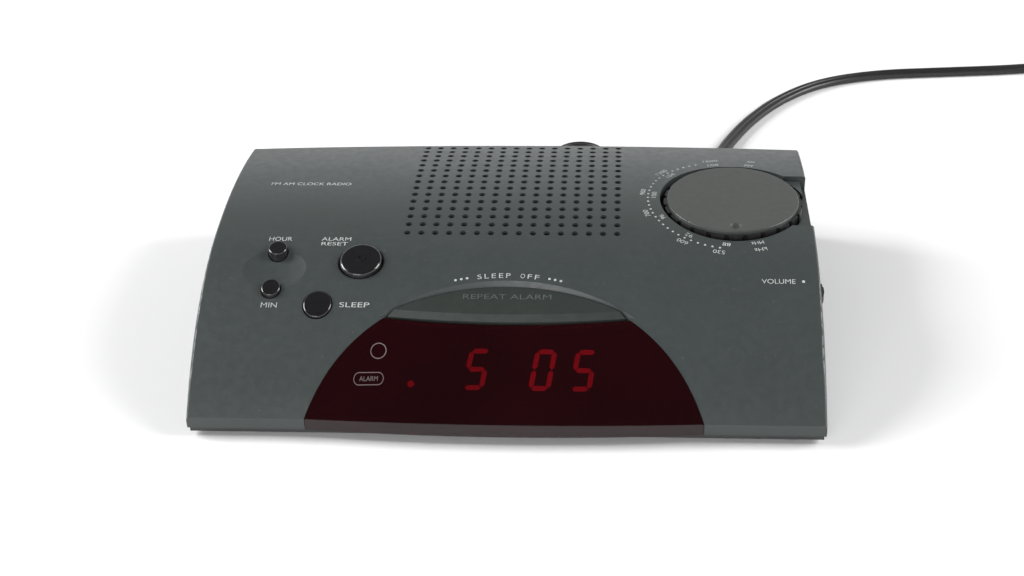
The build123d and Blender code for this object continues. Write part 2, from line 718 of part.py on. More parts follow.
def tuning_knob():
    """The knob's black body, with a notched rim and a hollow underside."""
    top, base = KNOB_TOP - KNOB_CAP, WELL_FLOOR + 0.5
    knob = rod(KNOB_X, KNOB_BACK, KNOB_R, base, top)
    knob -= tube(KNOB_X, KNOB_BACK, KNOB_R - 2.2, SHAFT_R + 2.5, base - 1, top - 1.6)
    knob -= rod(KNOB_X, KNOB_BACK, SHAFT_R + 0.02, base - 1, top - 0.35)
    for n in range(NOTCHES):
        turn = 2 * math.pi * (n + 0.5) / NOTCHES
        x, back = KNOB_X + KNOB_R * math.cos(turn), KNOB_BACK + KNOB_R * math.sin(turn)
        knob -= rod(x, back, 0.9, base - 1, top + 1)
    return knob


def tuning_knob_cap():
    """The disc on top of the knob, with a finger dimple that points at the scale."""
    cap = rod(KNOB_X, KNOB_BACK, KNOB_R - 1.1, KNOB_TOP - KNOB_CAP, KNOB_TOP)
    rim = cap.edges().filter_by(GeomType.CIRCLE).sort_by(Axis.Z)[-1]
    cap = fillet(rim, 0.4)
    return cap - at(KNOB_X, KNOB_BACK - 17.9, KNOB_TOP + 2.2) * Sphere(3.0)


def volume_pot():
    """The volume control under its thumb wheel."""
    pot = rod(WHEEL_X, WHEEL_BACK, 6.2, RADIO_TOP, WHEEL_Z - 0.4)
    return pot - rod(WHEEL_X, WHEEL_BACK, 2.0 + SHAFT_FIT, RADIO_TOP + 0.5, 30)


def volume_wheel():
    """The thumb wheel, with a ribbed edge and its short shaft."""
    wheel = rod(WHEEL_X, WHEEL_BACK, WHEEL_R, WHEEL_Z, WHEEL_Z + WHEEL_THICK)
    for n in range(36):
        turn = 2 * math.pi * n / 36
        x, back = WHEEL_X + WHEEL_R * math.cos(turn), WHEEL_BACK + WHEEL_R * math.sin(turn)
        wheel -= rod(x, back, 0.45, WHEEL_Z - 1, WHEEL_Z + WHEEL_THICK + 1)
    return wheel + rod(WHEEL_X, WHEEL_BACK, 2.0, RADIO_TOP + 0.7, WHEEL_Z + 1)


def lying_rod(x0, x1, outer, inner=0.0):
    """A cylinder along the ferrite rod's axis."""
    long = x1 - x0
    shape = Cylinder(outer, long) - Cylinder(inner, long + 2) if inner else Cylinder(outer, long)
    return at((x0 + x1) / 2, ROD_BACK, ROD_Z) * Rot(0, 90, 0) * shape


# ---------------------------------------------------------------- loudspeaker
def speaker_frame():
    """The steel basket, with four windows."""
    z = SPEAKER_RIM_Z
    here = at(0, SPEAKER_BACK)
    outer = here * Pos(0, 0, (z + 21.0) / 2) * Cone(14.5, 26.5, z - 21.0)
    inner = here * Pos(0, 0, (z + 21.0) / 2 + 0.8) * Cone(13.9, 25.9, z - 21.0)
    frame = outer - inner + tube(0, SPEAKER_BACK, SPEAKER_R, 24.7, z, z + 1.0)
    frame = frame - rod(0, SPEAKER_BACK, 6.0, 15, 25)
    for n in range(4):
        frame -= here * Rot(0, 0, 45 + 90 * n) * Pos(20, 0, 25.2) * Box(14, 12, 4.4)
    return frame


def speaker_magnet():
    """The magnet and its pole plates."""
    stack = rod(0, SPEAKER_BACK, 13.5, 15.5, 20.9)
    return stack - tube(0, SPEAKER_BACK, 6.0, 4.8, 18, 25)


def speaker_cone():
    """The paper cone, with its flange on the basket's rim and a dust cap."""
    z = SPEAKER_RIM_Z + 1.0
    here = at(0, SPEAKER_BACK)
    skin = here * Pos(0, 0, z - 2.7) * (Cone(7.0, 24.0, 5.4) - Pos(0, 0, 0.6) * Cone(7.0, 24.0, 5.4))
    flange = tube(0, SPEAKER_BACK, 27.2, 22.6, z, z + 0.5)
    ball = here * Pos(0, 0, z - 12) * Sphere(9.5)
    dust = (ball - here * Pos(0, 0, z - 12) * Sphere(9.0)) & rod(0, SPEAKER_BACK, 8.2, z - 6.5, 40)
    return skin + flange + dust


def speaker_screws():
    """Four washer-head screws that clamp the loudspeaker's rim."""
    screws = []
    for x, back in LUGS:
        washer = rod(x, back, 4.8, SPEAKER_RIM_Z - 1.0, SPEAKER_RIM_Z)
        head = rod(x, back, 2.2, SPEAKER_RIM_Z - 2.6, SPEAKER_RIM_Z - 1.0)
        screws.append(washer + head + rod(x, back, 0.9, SPEAKER_RIM_Z, SPEAKER_RIM_Z + 3.0))
    return together(screws)


# ---------------------------------------------------------------- power
CORE = (30.0, 60.0, 101.0, 115.0, BASE_Z, BASE_Z + 25.0)


def transformer_core():
    """A stack of E and I laminations with two windows."""
    x0, x1, back0, back1, z0, z1 = CORE
    core = box(*CORE)
    for left in (x0 + 5, x1 - 10):
        core -= box(left, left + 5, back0 - 1, back1 + 1, z0 + 5, z1 - 5)
    return core


def transformer_winding():
    """The bobbin and its copper, round the middle leg."""
    x0, x1, back0, back1, z0, z1 = CORE
    outer = box(x0 + 5.2, x1 - 5.2, back0 - 4.6, back1 + 4.6, z0 + 5.2, z1 - 5.2)
    return outer - box(x0 + 9.8, x1 - 9.8, back0 - 0.2, back1 + 0.2, z0, z1)


def transformer_strap():
    """The steel strap over the core, with its two lugs."""
    x0, x1, back0, back1, z0, z1 = CORE
    t = 0.8
    mid0, mid1 = back0 + 2, back1 - 2
    strap = box(x0 - t, x1 + t, mid0, mid1, z0, z1 + t) - box(x0, x1, mid0 - 1, mid1 + 1, z0 - 1, z1)
    lugs = box(STRAP_LUGS[0][0] - 3.4, x0, mid0, mid1, LIP_TOP, LIP_TOP + t)
    lugs += box(x1, STRAP_LUGS[1][0] + 3.4, mid0, mid1, LIP_TOP, LIP_TOP + t)
    for x, back in STRAP_LUGS:
        lugs -= rod(x, back, STAND_HOLE_R + 0.2, 0, 20)
    return strap + lugs


def battery_snap():
    """The battery's snap connector, on the bay's end wall."""
    x0 = BAY[0]
    snap = box(x0, x0 + 1.6, 79, 100, 4.5, 19.5)
    for back in (83.2, 95.9):
        snap += at(x0 + 2.4, back, 12) * Rot(0, 90, 0) * Cylinder(2.8, 2.0)
    return snap


# ---------------------------------------------------------------- cords
REAR_AT_MAINS = SIDE_DEPTH + REAR_BOW * (1 - (MAINS_X / (WIDTH / 2)) ** 2)


def strain_relief():
    """The tapered, grooved sleeve where the mains cord leaves the case."""
    rear, end = REAR_AT_MAINS, MAINS_ROUTE[0][1]
    here = at(MAINS_X, 0, MAINS_Z) * Rot(-90, 0, 0)
    long = end - rear - 1.6
    sleeve = here * Pos(0, 0, rear + 1.6 + long / 2) * Cone(4.6, 3.1, long)
    for n in range(5):
        sleeve -= here * Pos(0, 0, rear + 4 + 4 * n) * (Cylinder(6, 1.2) - Cylinder(3.6 - 0.25 * n, 2))
    collar = here * Pos(0, 0, rear + 1.3) * Cylinder(5.4, 1.5)
    neck = box(MAINS_X - 4.6, MAINS_X + 4.6, 116.5, rear + 0.8, MAINS_Z - 3.3, MAINS_Z + 3.3)
    flange = box(MAINS_X - 6.2, MAINS_X + 6.2, 116.5, 118.0, MAINS_Z - 4.4, MAINS_Z + 4.4)
    return sleeve + collar + neck + flange


def bend_radii(points):
    """The radius that fits each corner of a route: 0.45 of its shorter run, along the tangent."""
    vectors = [Vector(*p) for p in points]
    radii = []
    for before, corner, after in zip(vectors, vectors[1:], vectors[2:]):
        run_in, run_out = corner - before, after - corner
        half_turn = math.radians(run_in.get_angle(run_out)) / 2
        radii.append(0.45 * min(run_in.length, run_out.length) / math.tan(half_turn))
    return radii


def free_cord(name, route, diameter):
    """A round tube along straight runs and tangent arcs."""
    points = [(x, FRONT_Y + back, z) for x, back, z in route]
    radii = bend_radii(points)
    print(name, "bend radii:", [round(r, 1) for r in radii])
    path = FilletPolyline(*points, radius=radii)
    start = Plane(origin=path @ 0, z_dir=path % 0)
    cord = sweep(start * Circle(diameter / 2), path=path)
    section = math.pi * diameter**2 / 4
    print(name, "length", round(path.length, 1), "volume ratio", round(cord.volume / section / path.length, 3))
    return cord


def coil_ring(centre, ring):
    """The outer shape of a wound coil that lies on the table."""
    inner, outer, high = ring
    return tube(centre[0], centre[1], outer, inner, 0, high)


PLUG_LONG, PLUG_WIDE = 24.0, 22.0


def mains_plug():
    """The moulded plug at the cord's far end, lying on its side."""
    x, back, z = TAIL_ROUTE[-1]
    body = at(x, back - PLUG_LONG / 2, z) * Box(PLUG_WIDE, PLUG_LONG, 2 * z - 0.2)
    return fillet(body.edges().filter_by(Axis.Y), 2.5)


def plug_pins():
    """The plug's two flat blades."""
    x, back, z = TAIL_ROUTE[-1]
    blade = Box(1.5, 16, 6.3)
    return together([at(x + side * 6.35, back - PLUG_LONG - 8, z) * blade for side in (-1, 1)])


def coil_tie():
    """The twisted tie that keeps the mains coil together."""
    inner, outer, high = MAINS_RING
    x, back = MAINS_COIL
    loop = box(x - 2, x + 2, back - outer - 0.9, back - inner + 0.9, 0, high + 0.9)
    return loop - coil_ring(MAINS_COIL, MAINS_RING)


NODES = {
    "top_shell": top_shell,
    "bottom_shell": bottom_shell,
    "display_lens": display_lens,
    "case_screws": case_screws,
    "board_screws": board_screws,
    "rubber_feet": rubber_feet,
    "battery_door": battery_door,
    "battery_snap": battery_snap,
    "snooze_bar": snooze_bar,
    "hour_button": lambda: key("hour"),
    "minute_button": lambda: key("minute"),
    "alarm_reset_button": alarm_reset_button,
    "sleep_button": lambda: key("sleep"),
    "switch_bodies": switch_bodies,
    "key_board": lambda: board(KEY_BOARD, KEY_STANDS),
    "side_board": side_board,
    "slide_switches": slide_switches,
    "function_lever": lambda: slide_lever("function", 88.9),
    "clock_set_lever": lambda: slide_lever("clock_set", 88.9),
    "band_lever": lambda: slide_lever("band", 88.5),
    "led_display": led_display,
    "display_board": display_board,
    "display_bars_lit": lambda: display_bars(True),
    "display_bars_dark": lambda: display_bars(False),
    "alarm_led": alarm_led,
    "clock_board": lambda: board(CLOCK_BOARD, CLOCK_STANDS),
    "chips": chips,
    "capacitors": capacitors,
    "radio_board": radio_board,
    "coil_cans": coil_cans,
    "tuning_capacitor": tuning_capacitor,
    "tuning_shaft": tuning_shaft,
    "tuning_knob": tuning_knob,
    "tuning_knob_cap": tuning_knob_cap,
    "volume_pot": volume_pot,
    "volume_wheel": volume_wheel,
    "ferrite_rod": lambda: lying_rod(*ROD_ENDS, ROD_R),
    "antenna_coil": lambda: lying_rod(-62, -44, ROD_R + 1.0, ROD_R + 0.05),
    "speaker_frame": speaker_frame,
    "speaker_magnet": speaker_magnet,
    "speaker_cone": speaker_cone,
    "speaker_screws": speaker_screws,
    "transformer_core": transformer_core,
    "transformer_winding": transformer_winding,
    "transformer_strap": transformer_strap,
    "strain_relief": strain_relief,
    "mains_cord": lambda: free_cord("mains cord", MAINS_ROUTE, MAINS_D),
    "mains_coil": lambda: coil_ring(MAINS_COIL, MAINS_RING),
    "mains_tail": lambda: free_cord("mains tail", TAIL_ROUTE, MAINS_D),
    "mains_plug": mains_plug,
    "plug_pins": plug_pins,
    "coil_tie": coil_tie,
    "antenna_wire": lambda: free_cord("antenna wire", WIRE_ROUTE, WIRE_D),
    "antenna_wire_coil": lambda: coil_ring(WIRE_COIL, WIRE_RING),
}
for switch in SWITCHES:
    NODES[f"{switch}_plunger"] = lambda switch=switch: plunger(switch)

for node, make in NODES.items():
    save(make(), node)
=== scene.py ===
import bpy
import math
from mathutils import Matrix, Vector
from mathutils.bvhtree import BVHTree
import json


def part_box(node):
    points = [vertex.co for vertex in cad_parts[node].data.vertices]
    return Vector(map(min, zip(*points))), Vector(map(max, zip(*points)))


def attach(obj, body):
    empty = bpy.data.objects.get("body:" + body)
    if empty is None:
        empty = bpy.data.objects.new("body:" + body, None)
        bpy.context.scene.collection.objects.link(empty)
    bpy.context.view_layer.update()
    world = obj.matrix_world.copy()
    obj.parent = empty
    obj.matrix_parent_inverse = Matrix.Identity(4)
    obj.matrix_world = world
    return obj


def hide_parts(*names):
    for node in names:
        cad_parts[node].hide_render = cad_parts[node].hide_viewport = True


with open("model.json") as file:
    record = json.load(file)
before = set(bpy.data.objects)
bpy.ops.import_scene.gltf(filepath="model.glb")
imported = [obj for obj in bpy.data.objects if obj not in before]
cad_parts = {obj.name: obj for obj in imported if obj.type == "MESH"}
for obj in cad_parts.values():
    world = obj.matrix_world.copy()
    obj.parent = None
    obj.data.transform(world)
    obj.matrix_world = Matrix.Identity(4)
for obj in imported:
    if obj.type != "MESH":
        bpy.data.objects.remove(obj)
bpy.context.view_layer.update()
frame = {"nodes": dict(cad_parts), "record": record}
NODES = frame["nodes"]
MM = 0.001

# ---------------------------------------------------------------- places on the case
FRONT_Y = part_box("top_shell")[0][1] / MM
FRONT_SLOPE, FRONT_RADIUS = math.radians(46.9), 95.0
JOIN_SLOPE, REAR_RADIUS = math.radians(8.2), 190.0
STRIP_TOP = 6.8
FRONT_CENTRE = (FRONT_RADIUS * math.sin(FRONT_SLOPE), STRIP_TOP - FRONT_RADIUS * math.cos(FRONT_SLOPE))
JOIN = (
    FRONT_CENTRE[0] - FRONT_RADIUS * math.sin(JOIN_SLOPE),
    FRONT_CENTRE[1] + FRONT_RADIUS * math.cos(JOIN_SLOPE),
)
REAR_CENTRE = (
    JOIN[0] + REAR_RADIUS * math.sin(JOIN_SLOPE),
    JOIN[1] - REAR_RADIUS * math.cos(JOIN_SLOPE),
)
ARC_BACK = -28.5
KNOB_X, KNOB_BACK = 70.3, 79.5


def crown(back):
    """The centre and radius of the arc that the cover follows here."""
    return (FRONT_CENTRE, FRONT_RADIUS) if back < JOIN[0] else (REAR_CENTRE, REAR_RADIUS)


def crown_z(back):
    """The cover's height this far behind its front edge."""
    centre, radius = crown(back)
    return centre[1] + math.sqrt(radius**2 - (back - centre[0]) ** 2)


def at(x, back, z):
    """A place on the case, in metres."""
    return Vector((x * MM, (FRONT_Y + back) * MM, z * MM))


# ---------------------------------------------------------------- materials
def new_material(name, color, rough, metal=0.0):
    """A material, its shader and its node tree."""
    material = bpy.data.materials.new(name)
    material.use_nodes = True
    tree = material.node_tree
    shader = tree.nodes["Principled BSDF"]
    shader.inputs["Base Color"].default_value = (*color, 1)
    shader.inputs["Roughness"].default_value = rough
    shader.inputs["Metallic"].default_value = metal
    return material, shader, tree


def noise(tree, scale, detail=3.0, stretch=(1, 1, 1)):
    """Noise in the part's own metres, finer with a larger scale."""
    where = tree.nodes.new("ShaderNodeTexCoord")
    mapping = tree.nodes.new("ShaderNodeMapping")
    mapping.inputs["Scale"].default_value = stretch
    field = tree.nodes.new("ShaderNodeTexNoise")
    field.inputs["Scale"].default_value = scale
    field.inputs["Detail"].default_value = detail
    tree.links.new(where.outputs["Object"], mapping.inputs["Vector"])
    tree.links.new(mapping.outputs["Vector"], field.inputs["Vector"])
    return field.outputs["Fac"]


def ramp(tree, value, stops):
    """A colour ramp with stops of (position, colour)."""
    node = tree.nodes.new("ShaderNodeValToRGB")
    while len(node.color_ramp.elements) < len(stops):
        node.color_ramp.elements.new(0.5)
    for element, (position, color) in zip(node.color_ramp.elements, stops):
        element.position = position
        element.color = (*color, 1)
    tree.links.new(value, node.inputs["Fac"])
    return node.outputs["Color"]


def grey(value):
    return (value, value, value)


def bump(tree, shader, value, strength, distance):
    """Adds relief to a shader, on top of any that it has."""
    node = tree.nodes.new("ShaderNodeBump")
    node.inputs["Strength"].default_value = strength
    node.inputs["Distance"].default_value = distance
    tree.links.new(value, node.inputs["Height"])
    before = shader.inputs["Normal"].links
    if before:
        tree.links.new(before[0].from_socket, node.inputs["Normal"])
    tree.links.new(node.outputs["Normal"], shader.inputs["Normal"])


def plastic(name, color, rough, grain=0.0, grain_scale=2600, wear=0.12, coat=0.0):
    """Moulded plastic: a faint change of tone, uneven gloss and a fine moulded grain."""
    material, shader, tree = new_material(name, color, rough)
    tone = noise(tree, 45, 4)
    light = [min(1, c * (1 + wear)) for c in color]
    dark = [c * (1 - wear) for c in color]
    tree.links.new(ramp(tree, tone, [(0.3, dark), (0.7, light)]), shader.inputs["Base Color"])
    shine = noise(tree, 420, 6)
    low, high = max(0.02, rough - 0.05), min(1, rough + 0.05)
    tree.links.new(ramp(tree, shine, [(0.35, grey(low)), (0.7, grey(high))]), shader.inputs["Roughness"])
    if grain:
        bump(tree, shader, noise(tree, grain_scale, 2), grain, 0.00005)
    shader.inputs["Coat Weight"].default_value = coat
    return material


def metal(name, color, rough=0.35):
    """Plated steel or brass with fine rolling marks."""
    material, shader, tree = new_material(name, color, rough, 1.0)
    marks = noise(tree, 500, 4, (1, 12, 1))
    shine = ramp(tree, marks, [(0.3, grey(rough - 0.1)), (0.7, grey(rough + 0.15))])
    tree.links.new(shine, shader.inputs["Roughness"])
    bump(tree, shader, marks, 0.15, 0.00003)
    return material


def case_material():
    """The cover: dark grey satin plastic with a fine grain, dust and light scuffs."""
    material = plastic("case_grey", (0.042, 0.050, 0.049), 0.40, 0.32, 2300, 0.04)
    tree = material.node_tree
    shader = tree.nodes["Principled BSDF"]
    base = shader.inputs["Base Color"].links[0].from_socket
    dust = ramp(tree, noise(tree, 900, 6), [(0.66, grey(0.0)), (0.80, grey(0.35))])
    mix = tree.nodes.new("ShaderNodeMix")
    mix.data_type = "RGBA"
    mix.inputs[7].default_value = (0.15, 0.16, 0.155, 1)
    tree.links.new(dust, mix.inputs[0])
    tree.links.new(base, mix.inputs[6])
    tree.links.new(mix.outputs[2], shader.inputs["Base Color"])
    return material


def lens_material():
    """The smoked window: dark red clear plastic with fine scratches."""
    material, shader, tree = new_material("smoked_window", (0.02, 0.003, 0.004), 0.06)
    shader.inputs["Transmission Weight"].default_value = 0.72
    shader.inputs["IOR"].default_value = 1.49
    tone = ramp(tree, noise(tree, 30, 3), [(0.3, (0.030, 0.002, 0.004)), (0.7, (0.042, 0.003, 0.006))])
    tree.links.new(tone, shader.inputs["Base Color"])
    scratches = noise(tree, 500, 8, (0.6, 4, 1))
    rough = ramp(tree, scratches, [(0.5, grey(0.08)), (0.68, grey(0.12)), (0.74, grey(0.26))])
    tree.links.new(rough, shader.inputs["Roughness"])
    bump(tree, shader, noise(tree, 420, 6, (4, 0.5, 1)), 0.03, 0.00002)
    return material


def glowing(name, color, strength):
    """A lit light bar, a little brighter in its middle."""
    material, shader, tree = new_material(name, color, 0.4)
    shader.inputs["Emission Color"].default_value = (*color, 1)
    tone = ramp(tree, noise(tree, 300, 2), [(0.3, color), (0.7, [min(1, c * 1.15) for c in color])])
    tree.links.new(tone, shader.inputs["Emission Color"])
    shader.inputs["Emission Strength"].default_value = strength
    return material


MATERIALS = {
    "case": case_material(),
    "base": plastic("base_black", (0.03, 0.031, 0.031), 0.6, 0.3),
    "smoked_window": lens_material(),
    "steel": metal("plated_steel", (0.55, 0.55, 0.56)),
    "rubber": plastic("foot_rubber", (0.03, 0.03, 0.03), 0.85, 0.4, 900),
    "snap": plastic("snap_black", (0.03, 0.03, 0.03), 0.5, 0.1),
    # The snooze bar's grey is the cover's grey made a third darker: painted shade on the bar's face.
    "bar": plastic("bar_grey_painted_shade", (0.028, 0.034, 0.031), 0.36, 0.22, 2300, 0.06),
    "gloss_black": plastic("key_black", (0.010, 0.010, 0.011), 0.2, 0.0, 2000, 0.15, 0.5),
    "switch_case": plastic("switch_black", (0.04, 0.04, 0.04), 0.5, 0.1),
    "board": plastic("board_brown", (0.28, 0.18, 0.08), 0.5, 0.1),
    "switch_metal": metal("switch_plate", (0.5, 0.5, 0.5)),
    "display_case": plastic("display_black", (0.012, 0.010, 0.010), 0.6, 0.1),
    "light_on": glowing("light_on", (1.0, 0.06, 0.14), 6.5),
    "light_off": plastic("light_off", (0.03, 0.012, 0.012), 0.5, 0.0),
    "chip": plastic("chip_black", (0.02, 0.02, 0.02), 0.55, 0.2),
    "capacitor": plastic("sleeve_blue", (0.03, 0.05, 0.14), 0.3),
    "cans": metal("can_metal", (0.62, 0.62, 0.62), 0.3),
    "capacitor_case": plastic("clear_amber", (0.5, 0.48, 0.4), 0.25),
    "knob_black": plastic("knob_black", (0.012, 0.012, 0.012), 0.42, 0.15),
    "knob_grey": plastic("knob_grey", (0.046, 0.050, 0.047), 0.42, 0.28, 2300, 0.05),
    "ferrite": plastic("ferrite_grey", (0.05, 0.05, 0.055), 0.6, 0.5, 700),
    "copper": metal("enamelled_copper", (0.6, 0.25, 0.1), 0.3),
    "paper": plastic("cone_paper", (0.03, 0.03, 0.03), 0.9, 0.8, 900),
    "laminations": metal("laminations", (0.25, 0.25, 0.27), 0.5),
    "tape": plastic("winding_tape", (0.6, 0.42, 0.06), 0.3),
    "flex_black": plastic("flex_black", (0.011, 0.011, 0.012), 0.38, 0.12, 1500),
    "brass": metal("pin_brass", (0.75, 0.58, 0.28), 0.3),
    "tie": plastic("tie_white", (0.7, 0.7, 0.68), 0.5, 0.2),
    "wire": plastic("wire_black", (0.014, 0.014, 0.015), 0.4, 0.1),
    "plunger": plastic("plunger_white", (0.55, 0.55, 0.52), 0.45),
}
PRINT = plastic("print_grey", (0.42, 0.45, 0.44), 0.6, 0.0, 2000, 0.25)
LENS_PRINT = plastic("lens_print", (0.13, 0.10, 0.10), 0.5, 0.0, 2000, 0.3)
# The snooze bar's raised words: the bar's grey made three times lighter, a painted highlight where the
# letters catch the light.
BAR_WORDS_HIGHLIGHT = plastic("bar_words_painted_highlight", (0.085, 0.095, 0.092), 0.3, 0.0)

for part in frame["record"]["subparts"]:
    node = NODES[part["node"]]
    node.data.materials.clear()
    node.data.materials.append(MATERIALS[part["material_slot"]])


EDGE_WIDTH = 0.25
EDGE_SEGMENTS = 2
EDGE_ANGLE = math.radians(50)


def softened(node, width):
    """Rounds a part's sharp edges a little, so that they catch the light."""
    bevel = NODES[node].modifiers.new("edge", "BEVEL")
    bevel.width = width * MM
    bevel.segments = EDGE_SEGMENTS
    bevel.limit_method = "ANGLE"
    bevel.angle_limit = EDGE_ANGLE


# ---------------------------------------------------------------- printed marks, and the snooze bar's words as a painted highlight
MARK_LIFT = 0.05
BAR_WORDS_LIFT = 0.06
ABOVE_ALL = 60
TEXT_SIZE = 10
DOT_SIDES = 16


def surface_below(node):
    """A search tree of a part's faces, for finding its top."""
    mesh = NODES[node].data
    return BVHTree.FromPolygons([v.co for v in mesh.vertices], [list(p.vertices) for p in mesh.polygons])


WINDOW = surface_below("display_lens")


def on_crown(x, back, lift=MARK_LIFT):
    """A point just above the cover."""
    return at(x, back, crown_z(back) + lift)


def on_window(x, back):
    """A point just above the window."""
    hit = WINDOW.ray_cast(at(x, back, ABOVE_ALL), Vector((0, 0, -1)))[0]
    return hit + Vector((0, 0, MARK_LIFT * MM))


def finish_mark(mesh, name, body="case", material=PRINT):
    """Makes an object of a printed mark's mesh, or of the snooze bar's painted-highlight words, and puts
    it on its body.
    """
    mark = bpy.data.objects.new(name, mesh)
    bpy.context.scene.collection.objects.link(mark)
    mesh.materials.clear()
    mesh.materials.append(material)
    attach(mark, body)
    return mark


def text_mesh(words, size):
    """Words as a flat mesh, centred on its own origin."""
    curve = bpy.data.curves.new(words, "FONT")
    curve.body = words
    curve.size = size
    curve.align_x = "CENTER"
    curve.align_y = "CENTER"
    holder = bpy.data.objects.new(words, curve)
    mesh = bpy.data.meshes.new_from_object(holder)
    bpy.data.objects.remove(holder)
    return mesh


def extent(values):
    """The middle and the size of a range of numbers."""
    low, high = min(values), max(values)
    return (high + low) / 2, high - low


def print_words(name, words, x, back, wide, high, turn=0.0, lens=False):
    """Prints words that fill wide by high millimetres on the cover, turned anticlockwise by degrees."""
    mesh = text_mesh(words, TEXT_SIZE)
    mid_x, full_x = extent([v.co.x for v in mesh.vertices])
    mid_y, full_y = extent([v.co.y for v in mesh.vertices])
    fit_x, fit_y = wide / full_x, high / full_y
    c, s = math.cos(math.radians(turn)), math.sin(math.radians(turn))
    place = on_window if lens else on_crown
    for v in mesh.vertices:
        u, w = (v.co.x - mid_x) * fit_x, (v.co.y - mid_y) * fit_y
        v.co = place(x + u * c - w * s, back + u * s + w * c)
    return finish_mark(mesh, name, material=LENS_PRINT if lens else PRINT)


def ribbon(name, points, width, closed=False, lens=False):
    """A printed line through points of (x, back)."""
    verts, faces = [], []
    count = len(points)
    place = on_window if lens else on_crown
    for n, (x, back) in enumerate(points):
        before = points[n - 1] if closed or n else points[n]
        after = points[(n + 1) % count] if closed or n < count - 1 else points[n]
        run = Vector((after[0] - before[0], after[1] - before[1])).normalized()
        for side in (-0.5, 0.5):
            verts.append(place(x - run.y * width * side, back + run.x * width * side))
    for n in range(count if closed else count - 1):
        a, b = 2 * n, 2 * ((n + 1) % count)
        faces.append((a, a + 1, b + 1, b))
    mesh = bpy.data.meshes.new(name)
    mesh.from_pydata(verts, [], faces)
    return finish_mark(mesh, name, material=LENS_PRINT if lens else PRINT)


def dots(name, places, radius):
    """Round printed dots."""
    verts, faces = [], []
    for x, back in places:
        first = len(verts)
        for n in range(DOT_SIDES):
            turn = 2 * math.pi * n / DOT_SIDES
            verts.append(on_crown(x + radius * math.cos(turn), back + radius * math.sin(turn)))
        faces.append(tuple(range(first, first + DOT_SIDES)))
    mesh = bpy.data.meshes.new(name)
    mesh.from_pydata(verts, [], faces)
    return finish_mark(mesh, name)


def round_knob(radius, degrees):
    """A place beside the knob, by its distance and its bearing."""
    turn = math.radians(degrees)
    return KNOB_X + radius * math.cos(turn), KNOB_BACK + radius * math.sin(turn)


SCALE_DOTS, SCALE_DOT_RING, SCALE_DOT_RADIUS = 30, 27.3, 0.38
SCALE_START, SCALE_STEP = 114, 5
FM_RING, AM_RING = 25.4, 29.2
FM_BEARINGS = {"88": -97, "92": -125, "96": -154, "100": 175, "104": 141, "108": 102}
AM_BEARINGS = {"530": -101, "600": -125, "700": -162, "900": 172, "1200": 141, "1600": 102}
FIGURE_WIDE, FIGURE_HIGH = 1.25, 1.6
UNITS = (("FM", 75, 25.3), ("AM", 75, 28.8), ("MHz", -75, 25.2), ("kHz", -75, 28.4))
UNIT_WIDE, UNIT_HIGH = 1.3, 1.5


def print_scale():
    """The tuning scale: a ring of dots between two rings of figures."""
    places = [round_knob(SCALE_DOT_RING, SCALE_START + SCALE_STEP * n) for n in range(SCALE_DOTS)]
    dots("scale_dots", places, SCALE_DOT_RADIUS)
    for figures, radius in ((FM_BEARINGS, FM_RING), (AM_BEARINGS, AM_RING)):
        for figure, bearing in figures.items():
            x, back = round_knob(radius, bearing)
            wide = FIGURE_WIDE * len(figure)
            print_words("figure_" + figure, figure, x, back, wide, FIGURE_HIGH, bearing - 90)
    for word, bearing, radius in UNITS:
        x, back = round_knob(radius, bearing)
        print_words("unit_" + word, word, x, back, UNIT_WIDE * len(word), UNIT_HIGH, bearing - 90)


# Each legend's words, the place of its middle (x, back) and its size (wide, high).
LEGENDS = {
    "legend_hour": ("HOUR", -73.2, 55.6, 7.4, 1.9),
    "legend_minute": ("MIN", -73.0, 29.3, 5.0, 1.6),
    "legend_sleep": ("SLEEP", -46.6, 29.6, 9.2, 1.6),
    "legend_alarm": ("ALARM", -55.4, 55.7, 9.4, 1.7),
    "legend_reset": ("RESET", -55.7, 53.4, 8.4, 1.6),
    "legend_kind": ("FM AM CLOCK RADIO", -68.7, 88.2, 26.8, 1.9),
    "legend_volume": ("VOLUME", 82.3, 39.0, 10.2, 1.7),
}
VOLUME_DOT, VOLUME_DOT_RADIUS = (89.8, 39.0), 0.5


def print_legends():
    """What the keys do, the kind of product and the volume wheel's mark."""
    for name, (words, x, back, wide, high) in LEGENDS.items():
        print_words(name, words, x, back, wide, high)
    dots("volume_dot", [VOLUME_DOT], VOLUME_DOT_RADIUS)


ARC_WORDS, ARC_RADIUS = "SLEEP OFF", 68.9
ARC_LETTER_STEP, ARC_LETTER_WIDE, ARC_LETTER_HIGH = 1.85, 1.35, 1.7
ARC_DOTS_START, ARC_DOTS_STEP, ARC_DOT_RADIUS = 10.6, 1.5, 0.42


def on_arc(turn):
    """A place on the words' arc, by its bearing in radians."""
    return ARC_RADIUS * math.cos(turn), ARC_BACK + ARC_RADIUS * math.sin(turn)


def print_arc():
    """The words that follow the snooze bar's curve, with three dots at each end."""
    for n, letter in enumerate(ARC_WORDS):
        if letter == " ":
            continue
        turn = math.radians(90 - (n - (len(ARC_WORDS) - 1) / 2) * ARC_LETTER_STEP)
        x, back = on_arc(turn)
        tilt = math.degrees(turn) - 90
        print_words(f"arc_letter_{n}", letter, x, back, ARC_LETTER_WIDE, ARC_LETTER_HIGH, tilt)
    bearings = [90 + side * (ARC_DOTS_START + ARC_DOTS_STEP * n) for side in (-1, 1) for n in range(3)]
    dots("arc_dots", [on_arc(math.radians(bearing)) for bearing in bearings], ARC_DOT_RADIUS)


RING_X, RING_BACK, RING_HALF_WIDE, RING_HALF_HIGH, RING_LINE = -37.9, 15.9, 2.3, 2.1, 0.28
RING_STEPS = 32
PILL_X, PILL_BACK, PILL_HALF_LONG, PILL_HALF_HIGH, PILL_LINE = -40.3, 8.6, 2.9, 1.55, 0.22
PILL_STEPS = 24
PILL_WORD_WIDE, PILL_WORD_HIGH = 5.6, 1.2


